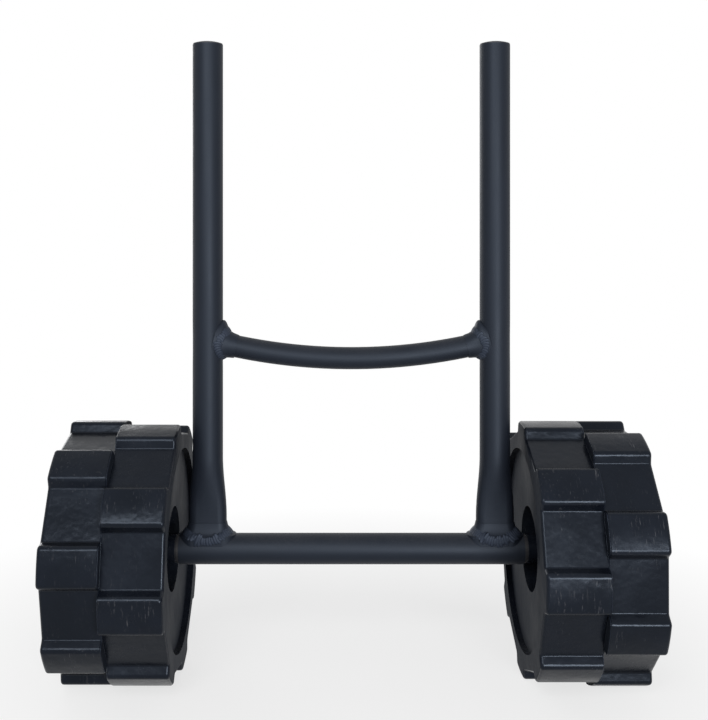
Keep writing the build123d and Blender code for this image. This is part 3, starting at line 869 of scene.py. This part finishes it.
class CarrierStageLook(bpy.types.PropertyGroup):
    """The studio: floor, light and camera."""

    floor_colour: bpy.props.FloatVectorProperty(
        name="Floor colour", description="Colour of the floor round the object",
        subtype="COLOR", min=0, max=1, default=(0.9, 0.9, 0.9),
    )
    floor_bounce: bpy.props.FloatProperty(
        name="Floor bounce",
        description="Share of its colour that the floor throws back on the object",
        subtype="FACTOR", min=0, max=1, default=0.05,
    )
    floor_radius: bpy.props.FloatProperty(
        name="Floor radius", description="Radius of the floor",
        unit="LENGTH", default=9.0,
    )
    shadow_share: bpy.props.FloatProperty(
        name="Shadow share", description="How much of the shadow shows on the white floor",
        subtype="FACTOR", min=0, max=1, default=0.3,
    )
    fade_start: bpy.props.FloatProperty(
        name="Fade start", description="Where the floor starts to turn plain white",
        unit="LENGTH", default=0.22,
    )
    fade_end: bpy.props.FloatProperty(
        name="Fade end", description="Where the floor is plain white",
        unit="LENGTH", default=0.62,
    )
    ambient: bpy.props.FloatProperty(
        name="Ambient", description="Strength of the room's own light",
        min=0, default=0.22,
    )
    key_place: bpy.props.FloatVectorProperty(
        name="Key place", description="Where the low front light stands",
        subtype="TRANSLATION", unit="LENGTH", default=(0.5, -1.6, 0.26),
    )
    key_size: bpy.props.FloatProperty(
        name="Key size", description="Side of the low front light",
        unit="LENGTH", default=0.55,
    )
    key_power: bpy.props.FloatProperty(
        name="Key power", description="Power of the low front light",
        unit="POWER", default=21.5,
    )
    high_place: bpy.props.FloatVectorProperty(
        name="High place",
        description="Where the high light stands, aimed at the tops of the posts",
        subtype="TRANSLATION", unit="LENGTH", default=(-0.35, -1.3, 0.88),
    )
    high_size: bpy.props.FloatProperty(
        name="High size", description="Side of the high light",
        unit="LENGTH", default=0.6,
    )
    high_power: bpy.props.FloatProperty(
        name="High power", description="Power of the high light",
        unit="POWER", default=11.0,
    )
    back_place: bpy.props.FloatVectorProperty(
        name="Back place", description="Where the light behind the object stands",
        subtype="TRANSLATION", unit="LENGTH", default=(-1.0, 1.7, 0.8),
    )
    back_size: bpy.props.FloatProperty(
        name="Back size", description="Side of the back light",
        unit="LENGTH", default=0.8,
    )
    back_power: bpy.props.FloatProperty(
        name="Back power", description="Power of the back light",
        unit="POWER", default=7.0,
    )
    camera_place: bpy.props.FloatVectorProperty(
        name="Camera place", description="Where the camera stands",
        subtype="TRANSLATION", unit="LENGTH", default=(-0.0226, -1.0321, 0.4438),
    )
    camera_lens: bpy.props.FloatProperty(
        name="Lens", description="Focal length in millimetres on a 36 mm sensor",
        unit="CAMERA", default=51.96,
    )
    camera_shift: bpy.props.FloatVectorProperty(
        name="Lens shift", description="Sideways and upward shift of the lens",
        size=2, default=(0.0353, -0.1841),
    )


# The stage

def white_for_view(tree):
    """1 for rays that show a background: from the camera, in a reflection or through glass."""
    rays = add_node(tree, "ShaderNodeLightPath").outputs
    seen = math_node(tree, "ADD", rays["Is Camera Ray"], rays["Is Glossy Ray"])
    return math_node(tree, "ADD", seen, rays["Is Transmission Ray"], clamp=True)


def floor_paper(look):
    """Pale round the object, where it keeps the shadow, and plain white farther out."""
    material = bpy.data.materials.new("pale_floor")
    tree = emptied_tree(material)
    away = length_of(tree, add_node(tree, "ShaderNodeTexCoord").outputs["Object"])
    seen = white_for_view(tree)
    thrown_back = tinted(look.floor_colour, look.floor_bounce)
    colour = mixed(tree, seen, thrown_back, tinted(look.floor_colour, 1.0))
    paper = add_node(tree, "ShaderNodeBsdfDiffuse", {"Color": colour}).outputs["BSDF"]
    white = add_node(tree, "ShaderNodeEmission", {"Color": WHITE, "Strength": 1.0}).outputs[0]
    share = remap(tree, away, look.fade_start, look.fade_end, to_low=1 - look.shadow_share)
    inputs = {0: math_node(tree, "MULTIPLY", share, seen), 1: paper, 2: white}
    surface = add_node(tree, "ShaderNodeMixShader", inputs).outputs[0]
    add_node(tree, "ShaderNodeOutputMaterial", {"Surface": surface})
    return material


def lay_floor(look):
    """A round floor just under the wheels."""
    mesh = bpy.data.meshes.new("floor")
    rim = []
    for corner in range(FLOOR_SIDES):
        turn = math.tau * corner / FLOOR_SIDES
        rim.append((look.floor_radius * math.cos(turn), look.floor_radius * math.sin(turn), 0))
    mesh.from_pydata(rim, [], [list(range(FLOOR_SIDES))])
    mesh.materials.append(floor_paper(look))
    floor = bpy.data.objects.new("floor", mesh)
    floor.location = (0, 0, CAD_BOX[0].z - FLOOR_GAP)
    bpy.context.scene.collection.objects.link(floor)


def light_world(scene, look):
    """A white background to look at, and a weak even light from the room."""
    scene.world = bpy.data.worlds.new("studio")
    tree = emptied_tree(scene.world)
    strength = remap(tree, white_for_view(tree), 0.0, 1.0, to_low=look.ambient)
    inputs = {"Color": WHITE, "Strength": strength}
    surface = add_node(tree, "ShaderNodeBackground", inputs).outputs["Background"]
    add_node(tree, "ShaderNodeOutputWorld", {"Surface": surface})


def hang_light(name, place, aim, size, power):
    """A square soft light that looks at aim and doesn't show in the camera's view."""
    light = bpy.data.lights.new(name, "AREA")
    light.shape = "SQUARE"
    light.size = size
    light.energy = power
    lamp = bpy.data.objects.new(name, light)
    lamp.location = place
    lamp.rotation_euler = (aim - Vector(place)).to_track_quat("-Z", "Y").to_euler()
    lamp.visible_camera = False
    bpy.context.scene.collection.objects.link(lamp)


def set_camera(scene, look):
    """A level camera that looks along Y, its view moved by the lens shift."""
    camera = bpy.data.objects.new("camera", bpy.data.cameras.new("camera"))
    camera.data.lens = look.camera_lens
    camera.data.shift_x, camera.data.shift_y = look.camera_shift
    camera.location = look.camera_place
    camera.rotation_euler = (math.pi / 2, 0, 0)
    scene.collection.objects.link(camera)
    scene.camera = camera


# Operators

class CARRIER_OT_dress_tubes(bpy.types.Operator):
    """Powder-coats the posts, the brace and the axle tube"""

    bl_idname = "carrier.dress_tubes"
    bl_label = "Dress tubes"

    def execute(self, context):
        coat = powder_coat("powder_coat", context.scene.carrier_coat)
        dress(both("upright") + ["cross_brace", "axle_tube"], coat)
        return {"FINISHED"}


class CARRIER_OT_dress_welds(bpy.types.Operator):
    """Coats the weld beads a little lighter than the tubes, as the coat lies thin on them"""

    bl_idname = "carrier.dress_welds"
    bl_label = "Dress welds"

    def execute(self, context):
        lightness = context.scene.carrier_weld.lightness
        coat = powder_coat("bead_coat", context.scene.carrier_coat, lightness, weathered=False)
        dress(both("base_weld", "brace_weld"), coat)
        return {"FINISHED"}


class CARRIER_OT_lay_ripples(bpy.types.Operator):
    """Lays the overlapping ripples of the welding passes along every bead"""

    bl_idname = "carrier.lay_ripples"
    bl_label = "Lay weld ripples"

    def execute(self, context):
        look = context.scene.carrier_weld
        coat = powder_coat(
            "ripple_coat", context.scene.carrier_coat, look.ripple_lightness, weathered=False
        )
        tree = ripple_tree()
        for node, seam_of, width, rise in (
            ("base_weld", foot_seam, look.foot_width, look.foot_rise),
            ("brace_weld", brace_seam, look.brace_width, look.brace_rise),
        ):
            loops, outward = [], []
            for side in SIDES:
                points, normals = laid_on(f"{side}_{node}", seam_of(side))
                loops.append(points)
                outward += normals
            ripples = grown(f"{node}_ripples", loops, tree, {
                "Pitch": look.pitch, "Width": width, "Rise": rise, "Lean": look.lean,
                "Unevenness": look.unevenness, "Material": coat,
            }, outward)
            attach(ripples, "frame")
        return {"FINISHED"}


class CARRIER_OT_dress_caps(bpy.types.Operator):
    """Gives the post caps their grained plastic"""

    bl_idname = "carrier.dress_caps"
    bl_label = "Dress caps"

    def execute(self, context):
        look = context.scene.carrier_plastic
        dress(both("post_cap"), plain_plastic("cap_plastic", look, look.cap_colour, CAP_ROUGHNESS))
        return {"FINISHED"}


class CARRIER_OT_dress_wheels(bpy.types.Operator):
    """Gives the wheel halves their scuffed blow-moulded plastic"""

    bl_idname = "carrier.dress_wheels"
    bl_label = "Dress wheels"

    def execute(self, context):
        look = context.scene.carrier_wheel
        for side in SIDES:
            plastic = wheel_plastic(f"{side}_wheel_plastic", look, wheel_centre(side))
            dress([f"{side}_outer_wheel_half", f"{side}_inner_wheel_half"], plastic)
        return {"FINISHED"}


class CARRIER_OT_raise_flash(bpy.types.Operator):
    """Runs the thin squeezed-out flash along both outlines where the wheel halves meet"""

    bl_idname = "carrier.raise_flash"
    bl_label = "Raise parting flash"

    def execute(self, context):
        look = context.scene.carrier_wheel
        tree = flash_tree()
        for side in SIDES:
            loops = [parting_line(f"{side}_{half}_wheel_half", side) for half in ("outer", "inner")]
            plastic = wheel_plastic(
                f"{side}_flash_plastic", look, wheel_centre(side), look.flash_lightness
            )
            values = {"Thickness": look.flash_thickness, "Material": plastic}
            flash = grown(f"{side}_parting_flash", loops, tree, values)
            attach(flash, f"{side}_wheel")
        return {"FINISHED"}


class CARRIER_OT_dress_fittings(bpy.types.Operator):
    """Gives the rod and what sits on it their steel and plastic finishes"""

    bl_idname = "carrier.dress_fittings"
    bl_label = "Dress axle fittings"

    def execute(self, context):
        steel = context.scene.carrier_steel
        for material_name, nodes, colour, roughness, lines_per_metre in (
            ("drawn_steel", ["axle_rod"], steel.rod_colour, 0.32, 2600.0),
            ("zinc_plate", both("outer_washer", "retaining_clip"), steel.zinc_colour, 0.36, 3400.0),
            ("screw_steel", both("wheel_screws"), steel.screw_colour, 0.34, 4200.0),
        ):
            dress(nodes, turned_steel(material_name, steel, colour, roughness, lines_per_metre))
        look = context.scene.carrier_plastic
        for name, roughness in (
            ("tube_insert", 0.55), ("inner_washer", 0.5),
            ("outer_hub_bush", 0.42), ("inner_hub_bush", 0.42),
        ):
            dress(both(name), plain_plastic(f"{name}_plastic", look, look.inner_colour, roughness))
        return {"FINISHED"}


class CARRIER_OT_set_stage(bpy.types.Operator):
    """Sets the pale floor, the soft lights and the camera"""

    bl_idname = "carrier.set_stage"
    bl_label = "Set stage"

    def execute(self, context):
        scene = context.scene
        look = scene.carrier_stage
        lay_floor(look)
        light_world(scene, look)
        middle = (CAD_BOX[0] + CAD_BOX[1]) / 2
        top = Vector((0, 0, CAD_BOX[1].z))
        hang_light("key_light", look.key_place, middle, look.key_size, look.key_power)
        hang_light("high_light", look.high_place, top, look.high_size, look.high_power)
        hang_light("back_light", look.back_place, middle, look.back_size, look.back_power)
        set_camera(scene, look)
        scene.view_settings.view_transform = "Standard"
        return {"FINISHED"}


class CARRIER_PT_sidebar(bpy.types.Panel):
    """Sizes, colours and operators of the carrier frame"""

    bl_label = "Twin-wheel carrier"
    bl_idname = "CARRIER_PT_sidebar"
    bl_space_type = "VIEW_3D"
    bl_region_type = "UI"
    bl_category = "Carrier"

    def draw(self, context):
        for attribute, kind in LOOKS.items():
            box = self.layout.box()
            box.label(text=kind.__doc__)
            look = getattr(context.scene, attribute)
            for name in kind.__annotations__:
                box.prop(look, name)
        for operator in OPERATORS:
            self.layout.operator(operator.bl_idname)


LOOKS = {
    "carrier_coat": CarrierCoatLook,
    "carrier_weld": CarrierWeldLook,
    "carrier_plastic": CarrierPlasticLook,
    "carrier_wheel": CarrierWheelLook,
    "carrier_steel": CarrierSteelLook,
    "carrier_stage": CarrierStageLook,
}
OPERATORS = (
    CARRIER_OT_dress_tubes,
    CARRIER_OT_dress_welds,
    CARRIER_OT_lay_ripples,
    CARRIER_OT_dress_caps,
    CARRIER_OT_dress_wheels,
    CARRIER_OT_raise_flash,
    CARRIER_OT_dress_fittings,
    CARRIER_OT_set_stage,
)


def register():
    for kind in (*LOOKS.values(), *OPERATORS, CARRIER_PT_sidebar):
        bpy.utils.register_class(kind)
    for attribute, kind in LOOKS.items():
        setattr(bpy.types.Scene, attribute, bpy.props.PointerProperty(type=kind))


def unregister():
    for attribute in LOOKS:
        delattr(bpy.types.Scene, attribute)
    for kind in (CARRIER_PT_sidebar, *reversed(OPERATORS), *reversed(LOOKS.values())):
        bpy.utils.unregister_class(kind)


def main():
    register()
    bpy.ops.carrier.dress_tubes()
    bpy.ops.carrier.dress_welds()
    bpy.ops.carrier.lay_ripples()
    bpy.ops.carrier.dress_caps()
    bpy.ops.carrier.dress_wheels()
    bpy.ops.carrier.raise_flash()
    bpy.ops.carrier.dress_fittings()
    bpy.ops.carrier.set_stage()


if __name__ == "__main__":
    main()
